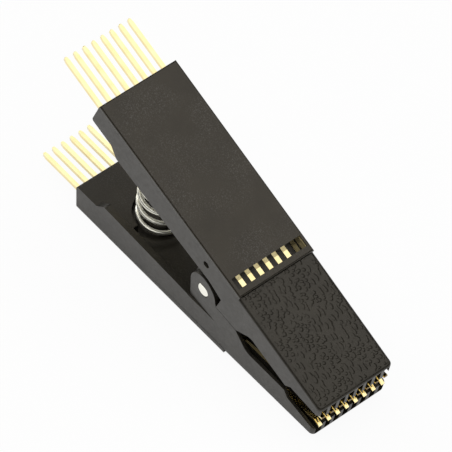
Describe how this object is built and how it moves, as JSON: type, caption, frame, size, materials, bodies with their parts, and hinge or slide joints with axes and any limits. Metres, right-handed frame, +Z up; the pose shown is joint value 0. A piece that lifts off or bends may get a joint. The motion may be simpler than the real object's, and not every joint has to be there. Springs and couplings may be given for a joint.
{
  "type": "ic test clip",
  "caption": "Spring-loaded clothes-peg test clip with hinged black plastic jaws and gold strip contacts that grip the leads of a small-outline chip.",
  "frame": {"origin": "middle of the lower cover's outer face, on which the clip lies", "axes": "+X from the terminals to the tips along the lower jaw, +Y across the jaws, +Z up to the upper jaw"},
  "size_m": [0.0492, 0.0108, 0.023],
  "materials": {
    "jaw_plastic": "satin black moulding, grained on the outside of the nose",
    "cover_plastic": "smooth satin black",
    "contact_gold": "polished gold plate",
    "pin_steel": "plain bright pin",
    "spring_steel": "bright drawn wire"
  },
  "bodies": {
    "lower": {"lower_jaw": "jaw_plastic", "lower_cover": "cover_plastic", "lower_contact_1": "contact_gold", "lower_contact_2": "contact_gold", "lower_contact_3": "contact_gold", "lower_contact_4": "contact_gold", "lower_contact_5": "contact_gold", "lower_contact_6": "contact_gold", "lower_contact_7": "contact_gold", "lower_contact_8": "contact_gold", "hinge_pin": "pin_steel", "spring": "spring_steel"},
    "upper": {"upper_jaw": "jaw_plastic", "upper_cover": "cover_plastic", "upper_contact_1": "contact_gold", "upper_contact_2": "contact_gold", "upper_contact_3": "contact_gold", "upper_contact_4": "contact_gold", "upper_contact_5": "contact_gold", "upper_contact_6": "contact_gold", "upper_contact_7": "contact_gold", "upper_contact_8": "contact_gold"}
  },
  "joints": [
    {"name": "jaw_hinge", "type": "hinge", "parent": "lower", "child": "upper", "pos_m": [0.00905, 0, 0.0074], "axis": [0, -1, 0], "range_deg": [0, 34], "stiffness_Nm_per_rad": 0.02, "springref_deg": -57.3, "deforming": ["spring"]}
  ]
}
